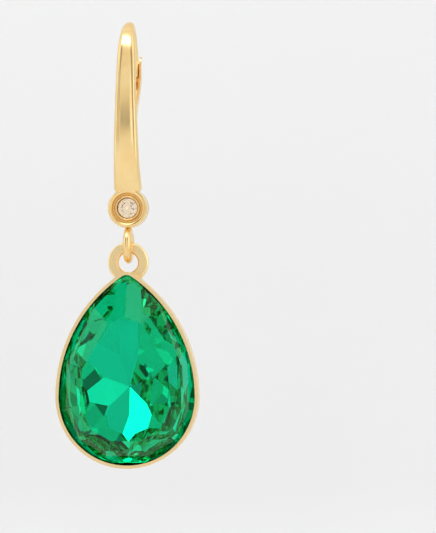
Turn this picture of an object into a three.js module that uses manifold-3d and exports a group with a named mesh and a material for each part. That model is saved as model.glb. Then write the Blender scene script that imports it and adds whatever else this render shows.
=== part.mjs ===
// A lever-back drop earring: a tapered front bar that bows over the ear and goes on as a wire, a channel
// lever that closes on the wire's end, a small round stone at the bar's foot, and below it a ring that
// carries a pear-shaped stone in a deep cup. Millimetres, +Z up, the front faces -Y. The origin is the
// inside of the crown, where the wire bears on the piercing.
import * as THREE from 'three';
import { mergeVertices } from 'three/addons/utils/BufferGeometryUtils.js';
import Module from 'manifold-3d';

const wasm = await Module();
wasm.setup();

// Front bar, crown and ear wire
const crownThickness = 0.9;
const crownRound = 0.7; // from 0, flat with bevelled edges, to 1, a round wire
const wireDiameter = 0.68;
const wireSetback = 4; // from the crown back to the wire's straight end
const wireEndDrop = 4.2; // from the inside of the crown down to the wire's tip
const barReach = 3.4; // how far the bar bows in front of the crown
const barFootWidth = 2.75;
const barThickness = 1.05;

// Round setting at the bar's foot
const settingDrop = 16.74;
const settingReach = 1.2; // from the crown forward to the middle of the setting
const settingRadius = 1.87;
const settingDepth = 2.1;
const settingBevel = 0.3; // round the back edge
const rimBand = 0.47; // width of the setting's rim, seen from the front
const collarWidth = 0.22; // width of the raised collar round the stone
const collarSink = 0.1; // from the rim back to the collar
const grooveSink = 0.38; // from the rim back to the groove between rim and collar

// Small round stone
const accentRadius = 0.93;
const accentSink = 0.4; // from the rim back to the top of its girdle
const accentGirdle = 0.08;
const accentCrown = 0.32;
const accentPavilion = 0.92;
const accentCulet = 0.01; // height taken off its point at the back
const stoneGap = 0.05; // between a stone and its setting

// Ring below the round setting
const ringRadius = 1.75;
const ringWireWidth = 0.78;
const ringWireHeight = 0.95;
const ringSolder = 0.14; // how deep the ring sinks into the setting's wall

// Loop of the drop
const loopPlay = 0.1; // between the ring and the loop that hangs on it
const loopRadius = 1.92;
const loopHoleRadius = 0.93;
const loopThickness = 0.8;
const loopChamfer = 0.13;

// Pear-shaped cup
const bellyRadius = 6.74;
const tipRadius = 1.1;
const tipHeight = 11.75; // from the belly's centre up to the tip
const tipRise = 0.05; // from the foot of the loop's hole up to the tip of the cup
const rimThickness = 0.3;
const rimRound = 0.07;
const rimReach = 1.55; // from the loop's middle plane forward to the rim
const cupDepth = 5.35;
const sideWall = 1.5; // depth of the straight wall behind the rim
const cupWall = 0.45;
const cupTaper = 0.42; // share by which the cup narrows to its back
const seatWidth = 0.4; // of the ledge that the stone's back rests on

// Pear-shaped stone
const stoneSink = 0.6; // from the rim back to the top of its girdle
const girdleHeight = 0.35;
const crownHeight = 1.75;
const pavilionHeight = 3.8;
const culetRise = 0.9; // from the belly's centre up to the point at the back
const culetFlat = 0.02; // height taken off that point

// Lever and its hinge
const leverTopDrop = 2.7;
const leverHalfWidth = 0.58;
const leverEarHalfWidth = 0.54;
const leverWall = 0.19;
const leverBackWall = 0.25;
const leverLegDepth = 0.95;
const leverChamfer = 0.1;
const leverGap = 0.05; // round the wire's end and beside the lug
const hingeDrop = 12.4;
const earRadius = 0.62;
const earClearance = 0.18; // from the lever's ears to the back of the bar
const rivetRadius = 0.3;
const rivetGap = 0.04;
const rivetHeadRadius = 0.46;
const rivetHeadHeight = 0.16;
const rivetHeadFlat = 0.7; // share of the head's radius that its face keeps
const rivetHeadEdge = 0.75; // share of the head's height at the edge of that face
const lugRadius = 0.55;

// Stations of the bar from its foot up to the crown: shares of barReach, settingDrop, barFootWidth and
// barThickness. round goes from 0, a flat face with bevelled edges, to 1, a round wire.
const barStations = [
  { reach: 0.46, drop: 0.905, width: 1, thick: 1.05, round: 0 },
  { reach: 0.65, drop: 0.84, width: 0.95, thick: 1.04, round: 0 },
  { reach: 0.86, drop: 0.74, width: 0.89, thick: 1.02, round: 0 },
  { reach: 0.97, drop: 0.6, width: 0.84, thick: 1, round: 0 },
  { reach: 1, drop: 0.45, width: 0.77, thick: 0.97, round: 0 },
  { reach: 0.98, drop: 0.3, width: 0.71, thick: 0.94, round: 0 },
  { reach: 0.91, drop: 0.18, width: 0.66, thick: 0.9, round: 0.05 },
  { reach: 0.78, drop: 0.09, width: 0.62, thick: 0.87, round: 0.15 },
  { reach: 0.53, drop: 0.018, width: 0.53, thick: 0.85, round: 0.3 },
  { reach: 0.26, drop: -0.017, width: 0.42, thick: 0.85, round: 0.5 },
];

// Stations of the ear wire behind the crown: shares of wireSetback, wireEndDrop and wireDiameter.
const wireStations = [
  { setback: 0.27, drop: -0.07, width: 1.16, round: 0.9 },
  { setback: 0.55, drop: 0.055, width: 1.04, round: 1 },
  { setback: 0.8, drop: 0.28, width: 1, round: 1 },
  { setback: 0.95, drop: 0.55, width: 1, round: 1 },
  { setback: 1, drop: 0.8, width: 1, round: 1 },
  { setback: 1, drop: 0.96, width: 1, round: 1 },
  { setback: 1, drop: 1, width: 0.7, round: 1 },
];

// Half sections from the middle of the front face round to the back: shares of half the width and of
// half the thickness.
const barHalf = [[0.52, 1], [0.78, 0.78], [0.96, 0.2], [1, -0.3], [0.88, -0.86], [0.42, -1]];
const roundHalf = [75, 45, 15, -15, -45, -75].map((angle) => [Math.cos(rad(angle)), Math.sin(rad(angle))]);

// Section of the round setting's front: shares of collarWidth out from the pocket and back from the
// collar's crest, then shares of rimBand out from the rim's inside and back from its front.
const collarSection = [[0, 0.25], [0.33, 0], [1, 0.25]];
const grooveShare = 0.4; // of the way from the collar out to the rim
const rimSection = [[0, 0.25], [0.3, 0.04], [0.6, 0], [0.88, 0.2], [1, 0.7]];

// Rows of the cup's outside behind its straight wall, and of its inside behind the ledge, as shares of
// the way to the back.
const taperShares = [0.3, 0.5, 0.68, 0.82, 0.93, 1];
const pocketShares = [0.35, 0.6, 0.8, 0.93];

// Stations of the lever's back from its top down to the hinge. back is 0 over the hinge and 1 behind
// the wire, up is 0 at the hinge and 1 at the top, and width goes from the ears' to the top's.
const leverStations = [
  { back: 1.04, up: 1, width: 1, leg: 0.8 },
  { back: 1, up: 0.96, width: 1, leg: 0.92 },
  { back: 1, up: 0.82, width: 1, leg: 1 },
  { back: 0.94, up: 0.755, width: 0.95, leg: 1 },
  { back: 0.81, up: 0.68, width: 0.8, leg: 1 },
  { back: 0.64, up: 0.58, width: 0.5, leg: 1 },
  { back: 0.45, up: 0.47, width: 0.2, leg: 1 },
  { back: 0.27, up: 0.35, width: 0, leg: 1 },
  { back: 0.12, up: 0.22, width: 0, leg: 1 },
  { back: 0.03, up: 0.1, width: 0, leg: 1 },
  { back: 0, up: 0, width: 0, leg: 1 },
];

// Facets of the stones, in rows of directions round the girdle in degrees, where 90 is towards the tip.
// The girdle is straight from corner to corner, and backTilt is the slope just behind it. A crown row
// has a tilt, and rise is where it starts: up from the girdle, share of the crown's height. The main
// facets meet at the culet, and foot is how high over the girdle they end, share of the pavilion's
// height. The rows outside them start at a share of the way from the culet to the girdle and end at a
// share of the mains' height there.
const backTilt = 60;
const pearCut = {
  corners: [90, 66, 52, 37, 25, 14, 2, -10, -25, -40, -58, -76], // the left side mirrors the right one
  crownRows: [
    { at: [62, 25, 2, -25, -58, -90], tilt: 48, rise: 0 },
    { at: [90, 37, 13, -11, -41, -74], tilt: 40, rise: 0.3 },
    { at: [62, 25, 2, -26, -58, -90], tilt: 35, rise: 0.5 },
  ],
  stars: { at: [66, 30, 5, -25, -60, -90], tilt: 25, table: 0.66 }, // table is the share of the way out
  mains: [
    { at: [90], foot: 0.13 },
    { at: [47], foot: 0.29 },
    { at: [-12], foot: 0.377 },
    { at: [-66], foot: 0.38 },
  ],
  pavilionRows: [
    { at: [72, 20, -42, -90], from: 0.38, foot: 0.88 },
    { at: [58, 5, -28, -54], from: 0.5, foot: 0.8 },
    { at: [90, 52, -12, -66], from: 0.6, foot: 0.5 },
    { at: [72, 35, 5, -28, -56, -90], from: 0.75, foot: 0.3 },
  ],
};
const roundCut = {
  corners: evenly(16, 0),
  crownRows: [
    { at: evenly(16, 0.5), tilt: 48, rise: 0 },
    { at: evenly(8, 0.5), tilt: 37, rise: 0.22 },
  ],
  stars: { at: evenly(8, 0), tilt: 21, table: 0.56 },
  mains: [{ at: evenly(8, 0.5), foot: 0.12 }],
  pavilionRows: [{ at: evenly(8, 0), from: 0.75, foot: 0.6 }],
};

const goldLook = { color: '#e6bd72', roughness: 0.16, metalness: 1 };
const greenLook = { color: '#04b573', roughness: 0.03, metalness: 0 };
const paleLook = { color: '#f4e9da', roughness: 0.03, metalness: 0 };

const outlineSteps = { tip: 3, side: 11, belly: 13 }; // along one half of the pear
const turnSteps = 48;
const ringSteps = 40;
const ringSection = 12;
const spanSteps = 3;
const blockSize = 60; // of the block that cuts one facet, larger than any piece

// Places worked out from the sizes above
const hangPlane = -settingReach;
const settingFront = hangPlane - settingDepth / 2;
const ringCentre = -(settingDrop + settingRadius - ringSolder + ringRadius);
const loopHoleTop = ringCentre - ringRadius + ringWireHeight + loopPlay;
const loopCentre = loopHoleTop - loopHoleRadius;
const cupTip = loopCentre - loopHoleRadius + tipRise;
const bellyCentre = cupTip - tipHeight;
const rimFront = hangPlane - rimReach;
const tipRun = tipHeight - tipRadius;
const sideRadius = (bellyRadius ** 2 + tipRun ** 2 - tipRadius ** 2) / (2 * (bellyRadius - tipRadius));
const tipAngle = Math.atan2(tipRun, sideRadius - bellyRadius);
const hingeSetback = barBack(hingeDrop) + earClearance + earRadius;
const leverBack = wireSetback + wireDiameter / 2 + leverGap + leverBackWall;

function rad(degrees) {
  return (degrees * Math.PI) / 180;
}

function mix(a, b, share) {
  return a + (b - a) * share;
}

// Depth of the bar's back surface at a drop below the crown.
function barBack(drop) {
  const share = drop / settingDrop;
  const above = barStations.findIndex((s) => s.drop < share);
  const [low, high] = [barStations[above - 1], barStations[above]];
  const way = (share - low.drop) / (high.drop - low.drop);
  return -barReach * mix(low.reach, high.reach, way) + (barThickness * mix(low.thick, high.thick, way)) / 2;
}

// A closed geometry as a solid that can be joined and cut.
function solid(geometry) {
  const bare = geometry.index ? geometry.toNonIndexed() : geometry.clone();
  bare.deleteAttribute('normal');
  bare.deleteAttribute('uv');
  const merged = mergeVertices(bare, 1e-5);
  return new wasm.Manifold(new wasm.Mesh({
    numProp: 3,
    vertProperties: new Float32Array(merged.attributes.position.array),
    triVerts: new Uint32Array(merged.index.array),
  }));
}

function piece(name, shape, look) {
  const { vertProperties, triVerts } = shape.getMesh();
  const geometry = new THREE.BufferGeometry();
  geometry.setAttribute('position', new THREE.BufferAttribute(vertProperties, 3));
  geometry.setIndex(new THREE.BufferAttribute(triVerts, 1));
  geometry.computeVertexNormals();
  const mesh = new THREE.Mesh(geometry, new THREE.MeshStandardMaterial(look));
  mesh.name = name;
  return mesh;
}

// Closed body through rings of equally many points, with a fan over each end. Each ring runs clockwise
// as seen along the way from the first ring to the last.
function loft(rings) {
  const count = rings[0].length;
  const points = rings.flat();
  const index = [];
  for (let ring = 0; ring + 1 < rings.length; ring += 1) {
    for (let i = 0; i < count; i += 1) {
      const a = ring * count + i;
      const b = ring * count + ((i + 1) % count);
      index.push(a, b, a + count, b, b + count, a + count);
    }
  }
  for (const ring of [0, rings.length - 1]) {
    const middle = new THREE.Vector3();
    rings[ring].forEach((point) => middle.addScaledVector(point, 1 / count));
    points.push(middle);
    for (let i = 0; i < count; i += 1) {
      const a = ring * count + i;
      const b = ring * count + ((i + 1) % count);
      index.push(...(ring === 0 ? [b, a] : [a, b]), points.length - 1);
    }
  }
  const geometry = new THREE.BufferGeometry().setFromPoints(points);
  geometry.setIndex(index);
  return solid(geometry);
}

// Rings square to a smooth line in the plane x = 0. section(at) gives a ring as [across, outward] pairs
// from the stations' columns at that point of the line.
function ringsAlong(stations, section) {
  const line = new THREE.CatmullRomCurve3(stations.map(({ y, z }) => new THREE.Vector3(0, y, z)));
  const last = stations.length - 1;
  const rings = [];
  for (let step = 0; step <= last * spanSteps; step += 1) {
    const low = Math.min(Math.floor(step / spanSteps), last - 1);
    const way = step / spanSteps - low;
    const at = {};
    Object.keys(stations[0]).forEach((key) => {
      at[key] = mix(stations[low][key], stations[low + 1][key], way);
    });
    const centre = line.getPoint(step / (last * spanSteps));
    const along = line.getTangent(step / (last * spanSteps));
    rings.push(section(at).map(([across, outward]) => new THREE.Vector3(
      across,
      centre.y - outward * along.z,
      centre.z + outward * along.y,
    )));
  }
  return rings;
}

// A body turned about a line along Y, from [radius, depth] pairs that start at its front.
function turned(profile, front, height) {
  const points = profile.map(([radius, depth]) => new THREE.Vector2(radius, depth));
  return solid(new THREE.LatheGeometry(points, turnSteps).translate(0, front, height));
}

// A rod along X.
function rod(radius, length, setback, height) {
  const geometry = new THREE.CylinderGeometry(radius, radius, length, turnSteps / 2).rotateZ(Math.PI / 2);
  return solid(geometry.translate(0, setback, height));
}

// What lies outside one flat facet: a block whose face passes through a point.
function outside(normal, point) {
  const block = new THREE.BoxGeometry(blockSize, blockSize, blockSize).translate(0, blockSize / 2, 0);
  block.applyQuaternion(new THREE.Quaternion().setFromUnitVectors(new THREE.Vector3(0, 1, 0), normal));
  return solid(block.translate(point.x, point.y, point.z));
}

// A stone cut facet by facet. outline(direction) gives the girdle's point where its outward normal has
// that direction, and the front of the girdle lies in the plane y = 0. centre is how far the point at
// the back lies above the middle. A facet faces the front at -1 and the back at 1.
function cutStone({ outline, cut, girdle, crown, pavilion, culet, centre }) {
  const corners = cut.corners.map((direction) => outline(rad(direction)));
  const reachOf = (direction) => Math.max(
    ...corners.map((corner) => corner.x * Math.cos(direction) + corner.z * Math.sin(direction)),
  );
  const runOf = (direction) => reachOf(direction) - centre * Math.sin(direction);
  const mains = cut.mains.flatMap(({ at, foot }) => at.map(rad).map((direction) => (
    { direction, slope: (pavilion * (1 - foot)) / runOf(direction) })));
  const heightAt = (direction, away) => Math.min(
    ...mains.map((main) => pavilion - main.slope * away * Math.cos(direction - main.direction)),
  );
  let stone = solid(new THREE.BoxGeometry(blockSize / 2, girdle + crown + pavilion - culet, blockSize / 2)
    .translate(0, (girdle + pavilion - culet - crown) / 2, 0));
  const grind = (direction, tilt, facing, reach, depth) => {
    const side = new THREE.Vector3(Math.cos(direction), 0, Math.sin(direction));
    const normal = side.clone().multiplyScalar(Math.sin(tilt)).setY(facing * Math.cos(tilt));
    stone = stone.subtract(outside(normal.normalize(), side.multiplyScalar(reach).setY(depth)));
  };
  corners.forEach((corner, i) => {
    const chord = corners[(i + 1) % corners.length].clone().sub(corner);
    const direction = Math.atan2(-chord.x, chord.z);
    const reach = corner.x * Math.cos(direction) + corner.z * Math.sin(direction);
    grind(direction, Math.PI / 2, 0, reach, 0);
    grind(direction, rad(backTilt), 1, reach, girdle);
  });
  cut.crownRows.forEach(({ at, tilt, rise }) => at.map(rad).forEach((direction) => {
    grind(direction, rad(tilt), -1, reachOf(direction), -crown * rise);
  }));
  cut.stars.at.map(rad).forEach((direction) => {
    grind(direction, rad(cut.stars.tilt), -1, reachOf(direction) * cut.stars.table, -crown);
  });
  mains.forEach(({ direction, slope }) => {
    grind(direction, Math.atan(slope), 1, centre * Math.sin(direction), girdle + pavilion);
  });
  cut.pavilionRows.forEach(({ at, from, foot }) => at.map(rad).forEach((direction) => {
    const run = runOf(direction);
    const end = heightAt(direction, run) * foot;
    const tilt = Math.atan2(heightAt(direction, run * from) - end, run * (1 - from));
    grind(direction, tilt, 1, reachOf(direction), girdle + end);
  }));
  return stone;
}

// The right side's directions with their mirror images, in order round the girdle.
function bothSides(directions) {
  const left = directions.filter((angle) => Math.abs(angle) !== 90).map((angle) => 180 - angle);
  return [...directions, ...left].map((angle) => (angle + 450) % 360 - 90).sort((a, b) => a - b);
}

// Evenly spaced directions, turned by a share of one step.
function evenly(count, turn) {
  return Array.from({ length: count }, (unused, i) => (360 * (i + turn)) / count);
}

// A point of the pear-shaped outline drawn in by inset, where its outward normal has this direction.
function pearPoint(direction, inset) {
  const left = Math.cos(direction) < 0;
  const right = left ? Math.PI - direction : direction;
  const normal = Math.atan2(Math.sin(right), Math.cos(right));
  let [x, z, radius] = [0, 0, bellyRadius];
  if (normal > tipAngle) {
    [z, radius] = [tipRun, tipRadius];
  } else if (normal > 0) {
    [x, radius] = [bellyRadius - sideRadius, sideRadius];
  }
  x += (radius - inset) * Math.cos(normal);
  z += (radius - inset) * Math.sin(normal);
  return new THREE.Vector3(left ? -x : x, 0, z);
}

// Directions of the outline's points, clockwise from the tip.
function pearDirections() {
  const half = [];
  const add = (from, to, steps) => {
    for (let i = 0; i < steps; i += 1) {
      half.push(mix(from, to, i / steps));
    }
  };
  add(Math.PI / 2, tipAngle, outlineSteps.tip);
  add(tipAngle, 0, outlineSteps.side);
  add(0, -Math.PI / 2, outlineSteps.belly);
  const left = half.slice(1).reverse().map((direction) => -Math.PI - direction);
  return [...half, -Math.PI / 2, ...left];
}

// A body through pear-shaped sections given by how far each is drawn in, narrowed and set back.
function pearBody(rows) {
  const directions = pearDirections();
  return loft(rows.map(({ inset, narrow, depth }) => directions.map((direction) => {
    const point = pearPoint(direction, inset).multiplyScalar(1 - narrow);
    return point.setY(depth);
  }))).translate([0, rimFront, bellyCentre]);
}

// How much the cup has narrowed at a depth behind its rim: a quarter of an ellipse.
function narrowAt(depth) {
  const way = Math.min(Math.max((depth - sideWall) / (cupDepth - sideWall), 0), 1);
  return cupTaper * (1 - Math.sqrt(1 - way ** 2));
}

function earHook() {
  const front = barStations.map((s) => ({
    y: -barReach * s.reach,
    z: -settingDrop * s.drop,
    width: barFootWidth * s.width,
    thick: barThickness * s.thick,
    round: s.round,
  }));
  const crown = {
    y: 0,
    z: crownThickness / 2,
    width: crownThickness,
    thick: crownThickness,
    round: crownRound,
  };
  const rear = wireStations.map((s) => ({
    y: wireSetback * s.setback,
    z: -wireEndDrop * s.drop,
    width: wireDiameter * s.width,
    thick: wireDiameter * s.width,
    round: s.round,
  }));
  const bar = loft(ringsAlong([...front, crown, ...rear], (at) => {
    const half = barHalf.map(([across, outward], i) => [
      (mix(across, roundHalf[i][0], at.round) * at.width) / 2,
      (mix(outward, roundHalf[i][1], at.round) * at.thick) / 2,
    ]);
    return [...half, ...half.map(([across, outward]) => [-across, outward]).reverse()];
  }));
  const pocket = accentRadius + stoneGap;
  const rimInner = settingRadius - rimBand;
  const setting = turned([
    [0, accentSink + accentGirdle + accentPavilion + stoneGap],
    [pocket, accentSink + accentGirdle + accentPavilion + stoneGap],
    ...collarSection.map(([out, back]) => [pocket + collarWidth * out, collarSink + collarWidth * back]),
    [mix(pocket + collarWidth, rimInner, grooveShare), grooveSink],
    ...rimSection.map(([out, back]) => [rimInner + rimBand * out, rimBand * back]),
    [settingRadius, settingDepth - settingBevel],
    [settingRadius - settingBevel, settingDepth],
    [0, settingDepth],
  ], settingFront, -settingDrop);
  const wire = Array.from({ length: ringSection + 1 }, (unused, i) => {
    const angle = (i * 2 * Math.PI) / ringSection;
    return new THREE.Vector2(
      ringRadius - (ringWireHeight / 2) * (1 - Math.cos(angle)),
      (ringWireWidth / 2) * Math.sin(angle),
    );
  });
  const ring = solid(new THREE.LatheGeometry(wire, ringSteps)
    .rotateZ(Math.PI / 2)
    .translate(0, hangPlane, ringCentre));
  const lugWidth = 2 * (leverEarHalfWidth - leverWall - leverGap);
  const lugLength = hingeSetback - barBack(hingeDrop) + barThickness / 2;
  const neck = solid(new THREE.BoxGeometry(lugWidth, lugLength, 2 * lugRadius)
    .translate(0, hingeSetback - lugLength / 2, -hingeDrop));
  return bar
    .add(setting)
    .add(ring)
    .add(neck)
    .add(rod(lugRadius, lugWidth, hingeSetback, -hingeDrop))
    .subtract(rod(rivetRadius + rivetGap, blockSize, hingeSetback, -hingeDrop));
}

function hingeRivet() {
  const half = leverEarHalfWidth + rivetGap;
  const profile = [
    [0, -half - rivetHeadHeight],
    [rivetHeadRadius * rivetHeadFlat, -half - rivetHeadHeight * rivetHeadEdge],
    [rivetHeadRadius, -half],
    [rivetRadius, -half],
    [rivetRadius, half],
    [rivetHeadRadius, half],
    [rivetHeadRadius * rivetHeadFlat, half + rivetHeadHeight * rivetHeadEdge],
    [0, half + rivetHeadHeight],
  ].map(([radius, across]) => new THREE.Vector2(radius, across));
  return solid(new THREE.LatheGeometry(profile, turnSteps / 2)
    .rotateZ(Math.PI / 2)
    .translate(0, hingeSetback, -hingeDrop));
}

function lever() {
  const line = leverStations.map((s) => ({
    y: mix(hingeSetback + earRadius, leverBack, s.back),
    z: mix(-hingeDrop, -leverTopDrop, s.up),
    half: mix(leverEarHalfWidth, leverHalfWidth, s.width),
    leg: leverLegDepth * s.leg,
  }));
  const shell = loft(ringsAlong(line, ({ half, leg }) => [
    [half - leverChamfer, 0],
    [half, -leverChamfer],
    [half, -leg],
    [-half, -leg],
    [-half, -leverChamfer],
    [-half + leverChamfer, 0],
  ]));
  const inside = ringsAlong(line, ({ half, leg }) => [
    [half - leverWall, -leverBackWall],
    [half - leverWall, -leg - leverWall],
    [-half + leverWall, -leg - leverWall],
    [-half + leverWall, -leverBackWall],
  ]);
  const raised = inside[0].map((point) => point.clone().add(new THREE.Vector3(0, 0, leverWall)));
  const lowered = inside.at(-1).map((point) => point.clone().add(new THREE.Vector3(0, 0, -earRadius)));
  const knuckle = 2 * (leverEarHalfWidth - leverWall);
  return shell
    .add(rod(earRadius, 2 * leverEarHalfWidth, hingeSetback, -hingeDrop))
    .subtract(loft([raised, ...inside, lowered]))
    .subtract(rod(earRadius + leverGap, knuckle, hingeSetback, -hingeDrop))
    .subtract(rod(rivetRadius + rivetGap, blockSize, hingeSetback, -hingeDrop));
}

function accentStone() {
  const stone = cutStone({
    outline: (direction) => new THREE.Vector3(
      accentRadius * Math.cos(direction),
      0,
      accentRadius * Math.sin(direction),
    ),
    cut: roundCut,
    girdle: accentGirdle,
    crown: accentCrown,
    pavilion: accentPavilion,
    culet: accentCulet,
    centre: 0,
  });
  return stone.translate([0, settingFront + accentSink, -settingDrop]);
}

function dropSetting() {
  const taper = taperShares.map((share) => mix(sideWall, cupDepth, share));
  const cup = pearBody([
    { inset: rimRound, narrow: 0, depth: 0 },
    { inset: 0, narrow: 0, depth: rimRound },
    { inset: 0, narrow: 0, depth: sideWall },
    ...taper.map((depth) => ({ inset: 0, narrow: narrowAt(depth), depth })),
  ]);
  const seat = stoneSink + girdleHeight + stoneGap;
  const ledge = seat + seatWidth * Math.tan(rad(backTilt));
  const inner = rimThickness + seatWidth;
  const floor = cupDepth - cupWall;
  const pocket = pearBody([
    { inset: rimThickness - rimRound, narrow: 0, depth: -rimRound },
    { inset: rimThickness - rimRound, narrow: 0, depth: 0 },
    { inset: rimThickness, narrow: 0, depth: rimRound },
    { inset: rimThickness, narrow: 0, depth: seat },
    { inset: inner, narrow: 0, depth: ledge },
    ...pocketShares.map((share) => mix(ledge, floor, share)).map((depth) => (
      { inset: inner, narrow: narrowAt(depth + cupWall), depth })),
    { inset: inner, narrow: narrowAt(cupDepth), depth: floor },
  ]);
  const half = loopThickness / 2;
  const loop = turned([
    [loopHoleRadius, -half + loopChamfer],
    [loopHoleRadius + loopChamfer, -half],
    [loopRadius - loopChamfer, -half],
    [loopRadius, -half + loopChamfer],
    [loopRadius, half - loopChamfer],
    [loopRadius - loopChamfer, half],
    [loopHoleRadius + loopChamfer, half],
    [loopHoleRadius, half - loopChamfer],
    [loopHoleRadius, -half + loopChamfer],
  ], hangPlane, loopCentre);
  return cup.add(loop).subtract(pocket);
}

function pearStone() {
  const mirrored = (row) => ({ ...row, at: bothSides(row.at) });
  const stone = cutStone({
    outline: (direction) => pearPoint(direction, rimThickness + stoneGap),
    cut: {
      corners: bothSides(pearCut.corners),
      crownRows: pearCut.crownRows.map(mirrored),
      stars: mirrored(pearCut.stars),
      mains: pearCut.mains.map(mirrored),
      pavilionRows: pearCut.pavilionRows.map(mirrored),
    },
    girdle: girdleHeight,
    crown: crownHeight,
    pavilion: pavilionHeight,
    culet: culetFlat,
    centre: culetRise,
  });
  return stone.translate([0, rimFront + stoneSink, bellyCentre]);
}

const hook = new THREE.Group();
hook.add(
  piece('ear_hook', earHook(), goldLook),
  piece('accent_stone', accentStone(), paleLook),
  piece('hinge_rivet', hingeRivet(), goldLook),
);

const drop = new THREE.Group();
drop.add(
  piece('drop_setting', dropSetting(), goldLook),
  piece('pear_stone', pearStone(), greenLook),
);

const earring = new THREE.Group();
earring.add(hook, piece('lever', lever(), goldLook), drop);

export default earring;
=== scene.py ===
import math
from collections import namedtuple

import bmesh
import bpy
from mathutils import Matrix, Vector


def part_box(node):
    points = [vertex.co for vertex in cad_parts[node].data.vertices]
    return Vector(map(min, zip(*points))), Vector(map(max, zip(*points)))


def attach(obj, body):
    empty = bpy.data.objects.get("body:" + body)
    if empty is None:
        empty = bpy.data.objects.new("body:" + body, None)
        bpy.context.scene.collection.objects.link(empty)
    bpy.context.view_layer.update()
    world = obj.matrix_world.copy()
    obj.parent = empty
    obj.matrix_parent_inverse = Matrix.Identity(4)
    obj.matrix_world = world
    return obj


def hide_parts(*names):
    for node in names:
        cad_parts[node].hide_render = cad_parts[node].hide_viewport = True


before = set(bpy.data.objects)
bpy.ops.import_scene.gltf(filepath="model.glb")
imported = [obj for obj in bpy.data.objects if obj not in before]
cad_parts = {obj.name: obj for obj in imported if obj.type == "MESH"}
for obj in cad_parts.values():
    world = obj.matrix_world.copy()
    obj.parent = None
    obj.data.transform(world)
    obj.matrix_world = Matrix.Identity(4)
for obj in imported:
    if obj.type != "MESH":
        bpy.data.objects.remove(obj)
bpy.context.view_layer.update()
scene = bpy.context.scene
mm = 0.001

# The camera stands level with the earring and a few degrees to its right, far off behind a long lens, so
# that the cup shows a thin right wall and the lever shows beside the bar. The image is 436 by 533 pixels.
view_height = 50.42 * mm  # what the image's height covers at the earring
view_across = 8.32 * mm  # from the earring's mount to the middle of the image
view_drop = 22.23 * mm
view_turn = math.radians(7)  # from the earring's front round to its right
lens_length = 250
sensor_height = 36

camera_data = bpy.data.cameras.new("long_lens")
camera_data.lens = lens_length
camera_data.sensor_width = sensor_height
camera = bpy.data.objects.new("camera", camera_data)
scene.collection.objects.link(camera)
scene.camera = camera
camera_away = lens_length * view_height / sensor_height
camera_turn = view_turn - math.atan(view_across / camera_away)
camera.rotation_euler = (math.radians(90), 0, camera_turn)
camera.location = Matrix.Rotation(camera_turn, 3, "Z") @ Vector((view_across, -camera_away, -view_drop))
camera_data.clip_start = camera_away / 10
camera_data.clip_end = camera_away * 10


# The studio is a pale tent, brighter at its sides, with a dim ring and two tall bright strips in front, a
# small dark gap just left of the middle that the green stone's flat top mirrors, and one soft box above.
# Python's own arithmetic on a Tone adds the Math nodes of the expression.
class Tone:
    """A number that changes over a surface or round the tent: one output socket of a node tree."""

    def __init__(self, nodes, socket):
        self.nodes = nodes
        self.socket = socket

    def math(self, operation, *values):
        return self.nodes.add("ShaderNodeMath", {"operation": operation}, dict(enumerate(values)))

    def __add__(self, other):
        return self.math("ADD", self, other)

    def __sub__(self, other):
        return self.math("SUBTRACT", self, other)

    def __rsub__(self, other):
        return self.math("SUBTRACT", other, self)

    def __mul__(self, other):
        return self.math("MULTIPLY", self, other)

    def __abs__(self):
        return self.math("ABSOLUTE", self)

    def above(self, low, high):
        """0 under low, 1 over high and smooth between them."""
        settings = {"interpolation_type": "SMOOTHSTEP"}
        return self.nodes.add("ShaderNodeMapRange", settings, {0: self, 1: low, 2: high})

    __radd__ = __add__
    __rmul__ = __mul__


class Nodes:
    """The nodes of one material or of the world."""

    def __init__(self, tree):
        self.tree = tree
        tree.nodes.clear()

    def add(self, kind, settings=None, sockets=None, output=0):
        """A node of this kind: its settings are made first, then its sockets get values or links."""
        node = self.tree.nodes.new(kind)
        for name, value in (settings or {}).items():
            setattr(node, name, value)
        for name, value in (sockets or {}).items():
            if isinstance(value, Tone):
                self.tree.links.new(value.socket, node.inputs[name])
            else:
                node.inputs[name].default_value = value
        return Tone(self, node.outputs[output]) if node.outputs else None

    def mix(self, share, first, second):
        """A colour between two others: a Mix node's inputs 6 and 7 and its output 2 are its colours."""
        return self.add("ShaderNodeMix", {"data_type": "RGBA"}, {0: share, 6: first, 7: second}, output=2)


# Each place in the tent is a pair of sines, where that part begins and where it is full.
backdrop_tone = 0.871  # what the camera sees past the backdrop
tent_tone = 0.97
sides_gain = 0.42
sides_edge = (0.55, 0.9)
right_gain = 0.15
strip_gain = 0.6
strip_inner_edge = (0.4, 0.5)
strip_outer_edge = (0.6, 0.7)
strip_top_edge = (0.4, 0.7)
strip_front_edge = (0.2, 0.4)
dim_ring_loss = 0.8
dim_ring_outer_edge = (0.45, 0.6)
dim_ring_inner_edge = (0.78, 0.92)
over_bar_low_edge = (0, 0.4)  # the dim ring leaves out a place above, which the front bar mirrors
over_bar_side_edge = (0.2, 0.35)
gap_turn = math.sin(math.radians(7))  # how far left of the front the gap lies
gap_size = (math.sin(math.radians(5)), math.sin(math.radians(4)))  # half its width and height
gap_edge = (0.5, 1.5)
gap_front_edge = (0, 0.1)
gap_loss = 0.75
world = bpy.data.worlds.new("tent")
world.use_nodes = True
scene.world = world
sky = Nodes(world.node_tree)
towards = sky.add("ShaderNodeTexCoord")
axes = sky.add("ShaderNodeSeparateXYZ", sockets={0: towards}).socket.node
across, along, upward = (Tone(sky, socket) for socket in axes.outputs)
ahead = 0 - along
over_bar = upward.above(*over_bar_low_edge) * (1 - abs(across).above(*over_bar_side_edge))
dim_ring = ahead.above(*dim_ring_outer_edge) * (1 - ahead.above(*dim_ring_inner_edge)) * (1 - over_bar)
strip = abs(across + gap_turn)
strips = strip.above(*strip_inner_edge) * (1 - strip.above(*strip_outer_edge))
strips = strips * ahead.above(*strip_front_edge) * (1 - upward.above(*strip_top_edge))
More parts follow.
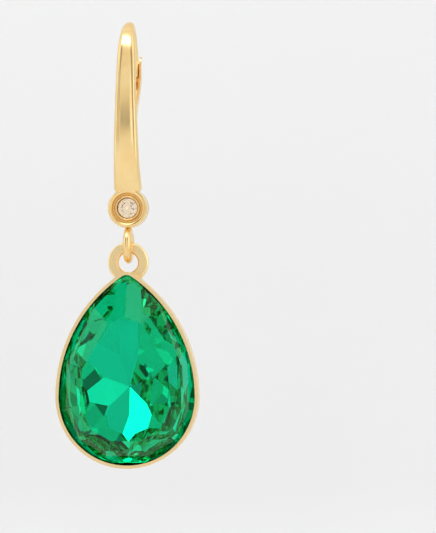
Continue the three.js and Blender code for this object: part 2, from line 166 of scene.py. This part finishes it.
gap_across = (across + gap_turn) * (1 / gap_size[0])
gap_upward = upward * (1 / gap_size[1])
gap_spread = gap_across * gap_across + gap_upward * gap_upward
gap = (1 - gap_spread.above(*gap_edge)) * ahead.above(*gap_front_edge)
surround = tent_tone + sides_gain * abs(across).above(*sides_edge) + right_gain * across
surround = surround - dim_ring_loss * dim_ring + strip_gain * strips
surround = surround * (1 - gap_loss * gap)
seen = sky.add("ShaderNodeLightPath")
tent = sky.add("ShaderNodeBackground", sockets={"Color": (1, 1, 1, 1), "Strength": surround})
plain = sky.add("ShaderNodeBackground", sockets={"Color": (1, 1, 1, 1), "Strength": backdrop_tone})
behind = sky.add("ShaderNodeMixShader", sockets={0: seen, 1: tent, 2: plain})
sky.add("ShaderNodeOutputWorld", sockets={"Surface": behind})


def soft_box(name, place, size, power, target):
    """An area lamp in millimetres that faces the target and is seen only in reflections."""
    lamp = bpy.data.lights.new(name, "AREA")
    lamp.shape = "RECTANGLE"
    lamp.size, lamp.size_y = size[0] * mm, size[1] * mm
    lamp.energy = power
    box = bpy.data.objects.new(name, lamp)
    scene.collection.objects.link(box)
    box.location = Vector(place) * mm
    box.rotation_euler = (Vector(target) * mm - box.location).to_track_quat("-Z", "Y").to_euler()
    box.visible_camera = False


bounce_limit = 32  # light goes to and fro many times inside a cut stone
soft_box("key", place=(-60, -140, 300), size=(280, 130), power=0.33, target=(0, 0, -22))
scene.view_settings.view_transform = "Standard"
scene.cycles.caustics_reflective = False
scene.cycles.max_bounces = bounce_limit
scene.cycles.glossy_bounces = bounce_limit
scene.cycles.transmission_bounces = bounce_limit

# The backdrop is one sheet of pale card that comes down behind the earring and sweeps forward as the
# floor. Its back is clear, so that the earring also shows from behind.
card_behind = 45 * mm
floor_drop = 70 * mm
sweep = 25 * mm
card_reach = 320 * mm
card_colour = (0.875, 0.875, 0.875, 1)

card = bmesh.new()
low_edge = card.verts.new((-card_reach, -card_reach, -floor_drop))
far_edge = bmesh.ops.extrude_vert_indiv(card, verts=[low_edge])["verts"]
bmesh.ops.translate(card, verts=far_edge, vec=(0, card_reach + card_behind - sweep, 0))
bend = bmesh.ops.spin(
    card,
    geom=far_edge,
    cent=(0, card_behind - sweep, sweep - floor_drop),
    axis=(1, 0, 0),
    angle=math.radians(90),
    steps=16,
)
top_edge = [part for part in bend["geom_last"] if isinstance(part, bmesh.types.BMVert)]
top_edge = bmesh.ops.extrude_vert_indiv(card, verts=top_edge)["verts"]
bmesh.ops.translate(card, verts=top_edge, vec=(0, 0, card_reach))
swept = bmesh.ops.extrude_edge_only(card, edges=card.edges[:])["geom"]
bmesh.ops.translate(
    card,
    verts=[part for part in swept if isinstance(part, bmesh.types.BMVert)],
    vec=(2 * card_reach, 0, 0),
)
card_finish = bpy.data.materials.new("pale_card")
card_finish.use_nodes = True
paper = Nodes(card_finish.node_tree)
side = paper.add("ShaderNodeNewGeometry", output="Backfacing")
pale = paper.add("ShaderNodeBsdfDiffuse", sockets={"Color": card_colour})
clear = paper.add("ShaderNodeBsdfTransparent")
card_side = paper.add("ShaderNodeMixShader", sockets={0: side, 1: pale, 2: clear})
paper.add("ShaderNodeOutputMaterial", sockets={0: card_side})


def made(name, mesh, finish):
    """The object of a finished mesh, smooth shaded, at the origin."""
    for face in mesh.faces:
        face.smooth = True
    data = bpy.data.meshes.new(name)
    mesh.to_mesh(data)
    mesh.free()
    data.materials.append(finish)
    thing = bpy.data.objects.new(name, data)
    scene.collection.objects.link(thing)
    return thing


backdrop = made("backdrop", card, card_finish)

# The front bar, crown and ear wire are one cast rod. Its front face is flat between two bright bevels,
# and it turns round as it bows over the ear and goes down behind as the wire that the lever closes on.
Station = namedtuple("Station", "y z width thick round")
setting_low, setting_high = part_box("accent_stone")
setting_drop = -(setting_low[2] + setting_high[2]) / 2 / mm
bar_reach = 3.4
bar_foot_width = 2.75
bar_thickness = 1.05
crown_thickness = 0.9
crown_round = 0.7  # how far its section has turned from flat-faced to round
wire_setback = 4
wire_end_drop = 4.2
wire_diameter = 0.68
bar_shares = [
    Station(0.46, 0.905, 1, 1.05, 0),
    Station(0.65, 0.84, 0.95, 1.04, 0),
    Station(0.86, 0.74, 0.89, 1.02, 0),
    Station(0.97, 0.6, 0.84, 1, 0),
    Station(1, 0.45, 0.77, 0.97, 0),
    Station(0.98, 0.3, 0.71, 0.94, 0),
    Station(0.91, 0.18, 0.66, 0.9, 0.05),
    Station(0.78, 0.09, 0.62, 0.87, 0.15),
    Station(0.53, 0.018, 0.53, 0.85, 0.3),
    Station(0.26, -0.017, 0.42, 0.85, 0.5),
]
wire_shares = [
    Station(0.27, -0.07, 1.16, 1.16, 0.9),
    Station(0.55, 0.055, 1.04, 1.04, 1),
    Station(0.8, 0.28, 1, 1, 1),
    Station(0.95, 0.55, 1, 1, 1),
    Station(1, 0.8, 1, 1, 1),
    Station(1, 0.96, 1, 1, 1),
    Station(1, 1, 0.7, 0.7, 1),
]
front_stations = [
    Station(
        -bar_reach * s.y,
        -setting_drop * s.z,
        bar_foot_width * s.width,
        bar_thickness * s.thick,
        s.round,
    )
    for s in bar_shares
]
crown_station = Station(0, crown_thickness / 2, crown_thickness, crown_thickness, crown_round)
wire_stations = [
    Station(
        wire_setback * s.y,
        -wire_end_drop * s.z,
        wire_diameter * s.width,
        wire_diameter * s.thick,
        s.round,
    )
    for s in wire_shares
]
stations = front_stations + [crown_station] + wire_stations
# Half the bar's section from the middle of its face round to its back, as shares of half its size.
bar_half = [
    (0.2, 1),
    (0.45, 1),
    (0.53, 0.975),
    (0.75, 0.81),
    (0.82, 0.7),
    (0.96, 0.2),
    (1, -0.3),
    (0.88, -0.86),
    (0.42, -1),
]


def through(stations, way):
    """The place, direction and sizes at a way along a smooth line through the stations."""
    start = min(int(way), len(stations) - 2)
    share = way - start
    near = [stations[min(max(start + step, 0), len(stations) - 1)] for step in (-1, 0, 1, 2)]
    weights = [
        (-share + 2 * share**2 - share**3) / 2,
        (2 - 5 * share**2 + 3 * share**3) / 2,
        (share + 4 * share**2 - 3 * share**3) / 2,
        (share**3 - share**2) / 2,
    ]
    slopes = [
        (-1 + 4 * share - 3 * share**2) / 2,
        (-10 * share + 9 * share**2) / 2,
        (1 + 8 * share - 9 * share**2) / 2,
        (3 * share**2 - 2 * share) / 2,
    ]
    y, z = (sum(w * s[axis] for w, s in zip(weights, near)) for axis in (0, 1))
    run = Vector([sum(w * s[axis] for w, s in zip(slopes, near)) for axis in (0, 1)]).normalized()
    sizes = [a + (b - a) * share for a, b in zip(near[1][2:], near[2][2:])]
    return type(stations[0])(y, z, *sizes), run


def bent_rod(stations, section, rings_per_span):
    """A straight rod, pulled up ring by ring and then bent along the stations with its section there."""
    rod = bmesh.new()
    side_of = rod.verts.layers.int.new("side")
    ring_of = rod.verts.layers.int.new("ring")
    sides = len(section(stations[0]))
    ring = bmesh.ops.create_circle(rod, segments=sides, radius=1)["verts"]
    for side, vert in enumerate(ring):
        vert[side_of] = side
    edges = rod.edges[:]
    rings = (len(stations) - 1) * rings_per_span
    for step in range(1, rings + 1):
        grown = bmesh.ops.extrude_edge_only(rod, edges=edges)["geom"]
        top = {part for part in grown if isinstance(part, bmesh.types.BMVert)}
        for vert in top:
            vert[ring_of] = step
        new_edges = [part for part in grown if isinstance(part, bmesh.types.BMEdge)]
        edges = [edge for edge in new_edges if top.issuperset(edge.verts)]
    bmesh.ops.holes_fill(rod, edges=[edge for edge in rod.edges if edge.is_boundary])
    places = [through(stations, step / rings_per_span) for step in range(rings + 1)]
    for vert in rod.verts:
        at, run = places[vert[ring_of]]
        side, out = section(at)[vert[side_of]]
        vert.co = Vector((side, at.y - out * run.y, at.z + out * run.x)) * mm
    bmesh.ops.recalc_face_normals(rod, faces=rod.faces)
    return rod


def smoothed(thing, levels):
    """Rounds the piece by subdivision."""
    subdivision = thing.modifiers.new("rounding", "SUBSURF")
    subdivision.levels = subdivision.render_levels = levels


def eased(thing, width, segments=3):
    """Rounds the piece's sharp edges and keeps its flats flat."""
    bevel = thing.modifiers.new("eased_edges", "BEVEL")
    bevel.width = width * mm
    bevel.segments = segments
    bevel.limit_method = "ANGLE"
    bevel.angle_limit = math.radians(28)
    bevel.harden_normals = True
    bevel.use_clamp_overlap = True


def polished_gold(name, deep=(0.87, 0.6, 0.25, 1), light=(0.93, 0.7, 0.34, 1), haze=(0.17, 0.22)):
    """Yellow gold plate: hand polish leaves soft waves, a faint haze and fine hairlines."""
    wave_share = 0.8
    hair_share = 0.035
    hair_haze = 0.03
    relief_depth = 0.008 * mm
    finish = bpy.data.materials.new(name)
    finish.use_nodes = True
    gold = Nodes(finish.node_tree)
    place = gold.add("ShaderNodeTexCoord", output="Object")
    waves = gold.add("ShaderNodeTexNoise", sockets={"Vector": place, "Scale": 420, "Detail": 2})
    cloud = gold.add("ShaderNodeTexNoise", sockets={"Vector": place, "Scale": 500, "Detail": 3})
    stretched = gold.add("ShaderNodeMapping", sockets={"Vector": place, "Scale": (9000, 9000, 700)})
    hairs = gold.add("ShaderNodeTexNoise", sockets={"Vector": stretched, "Scale": 1, "Detail": 3})
    colour = gold.mix(cloud.above(0.2, 0.8), light, deep)
    rough = haze[0] + (haze[1] - haze[0]) * cloud.above(0.3, 0.75) + hair_haze * hairs.above(0.5, 0.8)
    relief = waves * wave_share + hairs * hair_share
    bump = gold.add("ShaderNodeBump", sockets={"Strength": 0.15, "Distance": relief_depth, "Height": relief})
    surface = {"Base Color": colour, "Metallic": 1, "Roughness": rough, "Normal": bump}
    shader = gold.add("ShaderNodeBsdfPrincipled", sockets=surface)
    gold.add("ShaderNodeOutputMaterial", sockets={0: shader})
    return finish


def bar_section(at):
    """The bar's section there, as pairs across and outward: flat-faced where round is 0."""
    # The round section's points stand 20 degrees apart, from 10 degrees off the middle of the face.
    turn = [math.radians(80 - 20 * step) for step in range(len(bar_half))]
    half = [
        (
            (flat[0] + (math.cos(angle) - flat[0]) * at.round) * at.width / 2,
            (flat[1] + (math.sin(angle) - flat[1]) * at.round) * at.thick / 2,
        )
        for flat, angle in zip(bar_half, turn)
    ]
    return half + [(-side, out) for side, out in reversed(half)]


gold_finish = polished_gold("bar_gold")
front_bar = made("front_bar", bent_rod(stations, bar_section, rings_per_span=3), gold_finish)
smoothed(front_bar, levels=2)
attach(front_bar, "hook")
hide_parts("ear_hook")

# The round setting is turned metal soldered to the bar's foot: a wide rounded rim, a groove, and a thin
# collar that is burnished over the edge of the small stone.
setting_radius = 1.87
setting_depth = 2.1
rim_band = 0.47
rim_crest_sink = 0.02
collar_width = 0.22
collar_sink = 0.1
collar_inner_fall = 0.08
collar_outer_fall = 0.1
groove_sink = 0.38
groove_inner_slope = 0.05
groove_outer_slope = 0.02
back_rounding = 0.3
back_corner = 0.09
stone_radius = (setting_high[0] - setting_low[0]) / 2 / mm
stone_gap = 0.05
pocket_radius = stone_radius + stone_gap
pocket_depth = 1.45
hang_plane = -1.2  # in which the setting, the ring and the loop hang
setting_front = hang_plane - setting_depth / 2
rim_inner = setting_radius - rim_band
setting_profile = [
    (0, pocket_depth),
    (pocket_radius, pocket_depth),
    (pocket_radius, collar_sink + collar_inner_fall),
    (pocket_radius + collar_width * 0.3, collar_sink),
    (pocket_radius + collar_width * 0.7, collar_sink),
    (pocket_radius + collar_width, collar_sink + collar_outer_fall),
    (pocket_radius + collar_width + groove_inner_slope, groove_sink),
    (rim_inner - groove_outer_slope, groove_sink),
    (rim_inner + rim_band * 0.12, rim_band * 0.2),
    (rim_inner + rim_band * 0.35, rim_crest_sink),
    (rim_inner + rim_band * 0.6, 0),
    (rim_inner + rim_band * 0.85, rim_band * 0.14),
    (setting_radius - rim_crest_sink, rim_band * 0.4),
    (setting_radius, rim_band * 0.75),
    (setting_radius, setting_depth - back_rounding),
    (setting_radius - back_corner, setting_depth - back_corner),
    (setting_radius - back_rounding, setting_depth),
    (0, setting_depth),
]


def turned(profile, front, height, steps=96):
    """Metal turned about a line along Y, from pairs of radius and depth that start at the front."""
    mesh = bmesh.new()
    verts = [mesh.verts.new(Vector((radius, front + depth, height)) * mm) for radius, depth in profile]
    for first, second in zip(verts, verts[1:]):
        mesh.edges.new((first, second))
    bmesh.ops.spin(
        mesh,
        geom=mesh.verts[:] + mesh.edges[:],
        cent=Vector((0, front, height)) * mm,
        axis=(0, 1, 0),
        angle=math.radians(360),
        steps=steps,
        use_merge=True,
    )
    bmesh.ops.remove_doubles(mesh, verts=mesh.verts, dist=0.001 * mm)
    bmesh.ops.recalc_face_normals(mesh, faces=mesh.faces)
    return mesh


setting = turned(setting_profile, setting_front, -setting_drop)
stone_setting = made("stone_setting", setting, gold_finish)
eased(stone_setting, width=0.035)
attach(stone_setting, "hook")
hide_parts("ear_hook")

# The lower ring is a closed link of oval wire, soldered upright under the round setting so that the drop
# swings on it.
hook_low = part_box("ear_hook")[0]
ring_radius = 1.75
ring_wire_width = 0.78
ring_wire_height = 0.95
ring_centre = hook_low[2] / mm + ring_radius

ring = bmesh.new()
bmesh.ops.create_circle(ring, segments=28, radius=0.5 * mm)
bmesh.ops.scale(ring, vec=(ring_wire_width, ring_wire_height, 1), verts=ring.verts)
bmesh.ops.translate(
    ring,
    verts=ring.verts,
    vec=Vector((0, hang_plane - ring_radius + ring_wire_height / 2, ring_centre)) * mm,
)
bmesh.ops.spin(
    ring,
    geom=ring.verts[:] + ring.edges[:],
    cent=Vector((0, hang_plane, ring_centre)) * mm,
    axis=(1, 0, 0),
    angle=math.radians(360),
    steps=96,
    use_merge=True,
)
bmesh.ops.recalc_face_normals(ring, faces=ring.faces)
lower_ring = made("lower_ring", ring, gold_finish)
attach(lower_ring, "hook")
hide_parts("ear_hook")

# The hinge lug is a small cast block with a round end, on the back of the bar, that carries the lever.
rivet_low, rivet_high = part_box("hinge_rivet")
hinge_setback = (rivet_low[1] + rivet_high[1]) / 2 / mm
hinge_drop = -(rivet_low[2] + rivet_high[2]) / 2 / mm
lug_radius = 0.55
lug_width = 0.6
lug_root = 1.2  # from the rivet forward into the bar

lug = bmesh.new()
corner = lug.verts.new(Vector((-lug_width / 2, hinge_setback - lug_root, -hinge_drop - lug_radius)) * mm)
foot = bmesh.ops.extrude_vert_indiv(lug, verts=[corner])["verts"]
bmesh.ops.translate(lug, verts=foot, vec=(0, lug_root * mm, 0))
round_end = bmesh.ops.spin(
    lug,
    geom=foot,
    cent=Vector((0, hinge_setback, -hinge_drop)) * mm,
    axis=(1, 0, 0),
    angle=math.radians(180),
    steps=24,
)
head = [part for part in round_end["geom_last"] if isinstance(part, bmesh.types.BMVert)]
head = bmesh.ops.extrude_vert_indiv(lug, verts=head)["verts"]
bmesh.ops.translate(lug, verts=head, vec=(0, -lug_root * mm, 0))
lug.edges.new((head[0], corner))
side_face = bmesh.ops.contextual_create(lug, geom=lug.edges[:])["faces"]
other_side = bmesh.ops.extrude_face_region(lug, geom=side_face)["geom"]
bmesh.ops.translate(
    lug,
    verts=[part for part in other_side if isinstance(part, bmesh.types.BMVert)],
    vec=(lug_width * mm, 0, 0),
)
bmesh.ops.recalc_face_normals(lug, faces=lug.faces)
hinge_lug = made("hinge_lug", lug, gold_finish)
eased(hinge_lug, width=0.05)
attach(hinge_lug, "hook")
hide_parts("ear_hook")

# The rivet is drawn gold wire with a domed head hammered on at each end. It goes through the lug and holds
# the lever's two ears beside it.
rivet_half = (rivet_high[0] - rivet_low[0]) / 2 / mm
rivet_radius = 0.3
rivet_head_radius = (rivet_high[2] - rivet_low[2]) / 2 / mm
rivet_head_height = 0.16
dome_shares = [(0, 0), (0.4, 0.1), (0.75, 0.4), (1, 1)]

dome = [
    (rivet_head_radius * radius, -rivet_half + rivet_head_height * depth) for radius, depth in dome_shares
]
rivet_end = dome + [(rivet_radius, -rivet_half + rivet_head_height)]
rivet_profile = rivet_end + [(radius, -place) for radius, place in reversed(rivet_end)]
rivet = turned(rivet_profile, front=0, height=0, steps=40)
bmesh.ops.rotate(rivet, cent=(0, 0, 0), matrix=Matrix.Rotation(math.radians(90), 3, "Z"), verts=rivet.verts)
bmesh.ops.translate(rivet, verts=rivet.verts, vec=Vector((0, hinge_setback, -hinge_drop)) * mm)
hinge_rivet = made("hinge_pin", rivet, polished_gold("rivet_gold"))
eased(hinge_rivet, width=0.02, segments=2)
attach(hinge_rivet, "hook")
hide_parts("hinge_rivet")

# The lever is gold strip folded into a channel that is open to the front. It turns on the rivet between
# two round ears and closes on the end of the ear wire.
Fold = namedtuple("Fold", "y z half leg")
lever_top_drop = 2.7
lever_half_width = 0.58
ear_half_width = 0.54
lever_wall = 0.19
lever_back_wall = 0.25
lever_leg = 0.95
lever_chamfer = 0.1
ear_radius = 0.62
wire_clearance = 0.05
lever_back = wire_setback + wire_diameter / 2 + wire_clearance + lever_back_wall
lever_shares = [
    Fold(1.04, 1, 1, 0.8),
    Fold(1, 0.96, 1, 0.92),
    Fold(1, 0.82, 1, 1),
    Fold(0.94, 0.755, 0.95, 1),
    Fold(0.81, 0.68, 0.8, 1),
    Fold(0.64, 0.58, 0.5, 1),
    Fold(0.45, 0.47, 0.2, 1),
    Fold(0.27, 0.35, 0, 1),
    Fold(0.12, 0.22, 0, 1),
    Fold(0.03, 0.1, 0, 1),
    Fold(0, 0, 0, 1),
]
hinge_back = hinge_setback + ear_radius
folds = [
    Fold(
        hinge_back + (lever_back - hinge_back) * s.y,
        -hinge_drop + (hinge_drop - lever_top_drop) * s.z,
        ear_half_width + (lever_half_width - ear_half_width) * s.half,
        lever_leg * s.leg,
    )
    for s in lever_shares
]


def lever_section(at):
    """The channel's section there, round its outside and back along its inside."""
    inner = at.half - lever_wall
    right = [
        (at.half - lever_chamfer, 0),
        (at.half, -lever_chamfer),
        (at.half, -at.leg),
        (inner, -at.leg),
        (inner, -lever_back_wall),
    ]
    return right + [(-side, out) for side, out in reversed(right)]


channel = bent_rod(folds, lever_section, rings_per_span=4)
for side in (-1, 1):
    ear_place = Vector((side * (ear_half_width - lever_wall / 2), hinge_setback, -hinge_drop)) * mm
    bmesh.ops.create_cone(
        channel,
        cap_ends=True,
        segments=48,
        radius1=ear_radius * mm,
        radius2=ear_radius * mm,
        depth=lever_wall * mm,
        matrix=Matrix.Translation(ear_place) @ Matrix.Rotation(math.radians(90), 4, "Y"),
    )
lever_finish = polished_gold("lever_gold")
lever = made("lever_channel", channel, lever_finish)
eased(lever, width=0.035)
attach(lever, "lever")
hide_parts("lever")

# The cup is cast as one with its loop: a thin rounded rim drawn to a point, a deep wall that narrows to
# a plain back, and a ledge inside that the stone is cemented on.
drop_low, drop_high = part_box("drop_setting")
belly_radius = (drop_high[0] - drop_low[0]) / 2 / mm
belly_centre = drop_low[2] / mm + belly_radius
loop_radius = 1.92
loop_hole_radius = 0.93
loop_centre = drop_high[2] / mm - loop_radius
tip_rise = 0.05
tip_height = loop_centre - loop_hole_radius + tip_rise - belly_centre
tip_radius = 1.1
rim_front = drop_low[1] / mm
cup_depth = (drop_high[1] - drop_low[1]) / mm
side_wall = 1.5
rim_thickness = 0.3
seat_sink = 1.0
seat_width = 0.4
ledge_depth = 0.69
bowl_rim_depth = 1.2
bowl_middle_depth = 1.1
floor_sink = 4.9
cup_taper = 0.42
tip_run = tip_height - tip_radius
side_radius = (belly_radius**2 + tip_run**2 - tip_radius**2) / (2 * (belly_radius - tip_radius))
tip_angle = math.atan2(tip_run, side_radius - belly_radius)

cup = bmesh.new()
cup.verts.new(Vector((0, rim_front, belly_centre + tip_height)) * mm)
arcs = [
    ((0, tip_run), math.pi / 2 - tip_angle, 10),
    ((belly_radius - side_radius, 0), tip_angle, 36),
    ((0, 0), math.pi / 2, 44),
]
for (aside, up), angle, steps in arcs:
    cup.verts.ensure_lookup_table()
    bmesh.ops.spin(
        cup,
        geom=[cup.verts[-1]],
        cent=Vector((aside, rim_front, belly_centre + up)) * mm,
        axis=(0, 1, 0),
        angle=angle,
        steps=steps,
    )
bmesh.ops.mirror(cup, geom=cup.verts[:] + cup.edges[:], axis="X", merge_dist=0.001 * mm)
bmesh.ops.remove_doubles(cup, verts=cup.verts, dist=0.001 * mm)
mouth = bmesh.ops.contextual_create(cup, geom=cup.edges[:])["faces"]
bmesh.ops.recalc_face_normals(cup, faces=cup.faces)
if mouth[0].normal.y > 0:
    bmesh.ops.reverse_faces(cup, faces=mouth)
Step = namedtuple("Step", "inset depth scale")
bowl_floor_depth = floor_sink - seat_sink - ledge_depth - bowl_rim_depth - bowl_middle_depth
pocket_steps = [
    Step(rim_thickness, 0, 1),
    Step(0, seat_sink, 1),
    Step(seat_width, ledge_depth, 1),
    Step(0, bowl_rim_depth, 0.97),
    Step(0, bowl_middle_depth, 0.9),
    Step(0, bowl_floor_depth, 0.78),
]
for step in pocket_steps:
    bmesh.ops.inset_region(
        cup,
        faces=mouth,
        thickness=step.inset * mm,
        depth=-step.depth * mm,
        use_boundary=True,
        use_even_offset=True,
    )
    bmesh.ops.scale(
        cup,
        vec=(step.scale, 1, step.scale),
        space=Matrix.Translation((0, 0, -belly_centre * mm)),
        verts=mouth[0].verts[:],
    )
back_edge = [edge for edge in cup.edges if edge.is_boundary]
narrowed = 1
depth_before = 0
for angle in range(0, 91, 9):
    share = math.sin(math.radians(angle))
    depth = side_wall + (cup_depth - side_wall) * share
    narrow = 1 - cup_taper * (1 - math.sqrt(1 - share**2))
    grown = bmesh.ops.extrude_edge_only(cup, edges=back_edge)["geom"]
    verts = {part for part in grown if isinstance(part, bmesh.types.BMVert)}
    new_edges = [part for part in grown if isinstance(part, bmesh.types.BMEdge)]
    back_edge = [edge for edge in new_edges if verts.issuperset(edge.verts)]
    bmesh.ops.translate(cup, verts=list(verts), vec=(0, (depth - depth_before) * mm, 0))
    bmesh.ops.scale(
        cup,
        vec=(narrow / narrowed, 1, narrow / narrowed),
        space=Matrix.Translation((0, 0, -belly_centre * mm)),
        verts=list(verts),
    )
    narrowed = narrow
    depth_before = depth
bmesh.ops.holes_fill(cup, edges=back_edge)
bmesh.ops.recalc_face_normals(cup, faces=cup.faces)
cup_finish = polished_gold(
    "cup_gold",
    deep=(0.92, 0.69, 0.34, 1),
    light=(0.95, 0.74, 0.39, 1),
    haze=(0.25, 0.29),
)
pear_cup = made("pear_cup", cup, cup_finish)
eased(pear_cup, width=0.11, segments=4)
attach(pear_cup, "drop")
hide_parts("drop_setting")

# The loop stands on the cup's tip as part of the casting: a flat ring with bevelled edges that hangs on
# the ring above.
loop_half = 0.4
loop_chamfer = 0.13
loop_profile = [
    (loop_hole_radius, -loop_half + loop_chamfer),
    (loop_hole_radius + loop_chamfer, -loop_half),
    (loop_radius - loop_chamfer, -loop_half),
    (loop_radius, -loop_half + loop_chamfer),
    (loop_radius, loop_half - loop_chamfer),
    (loop_radius - loop_chamfer, loop_half),
    (loop_hole_radius + loop_chamfer, loop_half),
    (loop_hole_radius, loop_half - loop_chamfer),
    (loop_hole_radius, -loop_half + loop_chamfer),
]
cast_loop = made("cast_loop", turned(loop_profile, hang_plane, loop_centre), cup_finish)
eased(cast_loop, width=0.04)
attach(cast_loop, "drop")
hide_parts("drop_setting")


# The pear-shaped stone is cut crystal, clear green through its crown. It is foiled like a mirror from its
# widest edge back, and is cemented into the cup.
def foiled_crystal(name, glass, foil, sheen, node, foil_from, milk=0):
    """Cut crystal on a CAD stone: foil_from is where its mirror begins, in millimetres from the front."""
    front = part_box(node)[0][1]
    foil_edge = 0.01
    finish = bpy.data.materials.new(name)
    finish.use_nodes = True
    crystal = Nodes(finish.node_tree)
    place = crystal.add("ShaderNodeTexCoord", output="Object")
    axes = crystal.add("ShaderNodeSeparateXYZ", sockets={0: place}).socket.node
    depth = (Tone(crystal, axes.outputs[1]) - front) * (1 / mm)
    foiled = depth.above(foil_from - foil_edge, foil_from + foil_edge)
    haze = crystal.add("ShaderNodeTexNoise", sockets={"Vector": place, "Scale": 700, "Detail": 3})
    surface = {
        "Base Color": crystal.mix(foiled, glass, foil),
        "Metallic": foiled,
        "Roughness": 0.004 + 0.012 * haze.above(0.55, 0.8),
        "IOR": 1.56,
        "Transmission Weight": 1 - milk,
        "Specular Tint": sheen,
    }
    shader = crystal.add("ShaderNodeBsdfPrincipled", sockets=surface)
    crystal.add("ShaderNodeOutputMaterial", sockets={0: shader})
    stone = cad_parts[node]
    stone.data.materials.clear()
    stone.data.materials.append(finish)


foiled_crystal(
    "green_crystal",
    glass=(0, 0.58, 0.36, 1),
    foil=(0, 0.88, 0.7, 1),
    sheen=(0.5, 0.75, 0.6, 1),
    node="pear_stone",
    foil_from=1.78,
)

# The small stone is a round brilliant of pale champagne crystal, foiled behind in the same way. The collar
# of the round setting holds it.
foiled_crystal(
    "pale_crystal",
    glass=(1, 0.9, 0.78, 1),
    foil=(1, 0.95, 0.87, 1),
    sheen=(1, 1, 1, 1),
    node="accent_stone",
    foil_from=0.41,
    milk=0.1,
)
